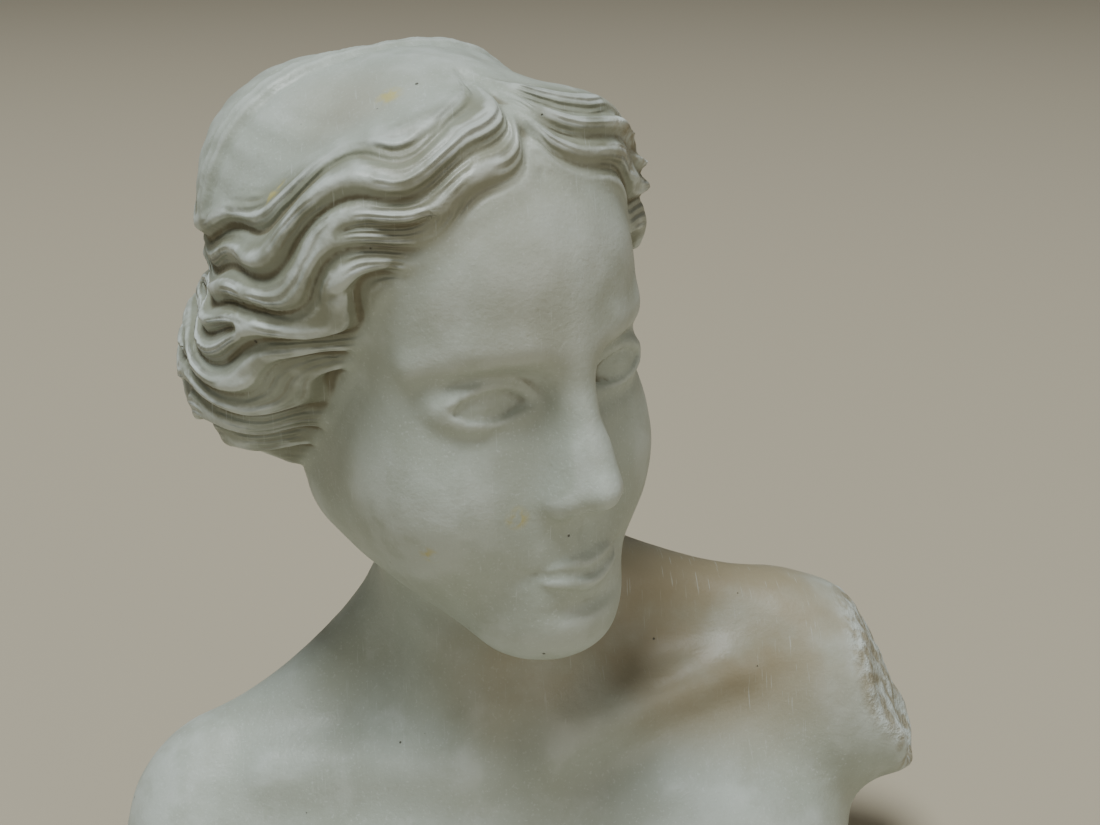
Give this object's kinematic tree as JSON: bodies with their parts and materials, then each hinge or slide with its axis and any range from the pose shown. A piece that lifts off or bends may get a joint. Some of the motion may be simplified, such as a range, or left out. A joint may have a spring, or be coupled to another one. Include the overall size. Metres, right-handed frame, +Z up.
{
  "type": "bust of a classical goddess",
  "caption": "Small cast-stone bust of a classical goddess, head turned, wavy parted hair tied in a knot, bare shoulders, left arm broken off, cut flat below to stand on a shelf.",
  "frame": {"origin": "on the flat underside, below the pit of the neck", "axes": "+Z up, the chest faces -Y, the figure's left is +X"},
  "size_m": [0.192, 0.1167, 0.206],
  "materials": {
    "cast_stone": "pale grey-green cast stone, satin, with a brown wash in the hollows, pinholes and fine brushed scratches"
  },
  "bodies": {
    "root": {"bust": "cast_stone"}
  },
  "joints": []
}
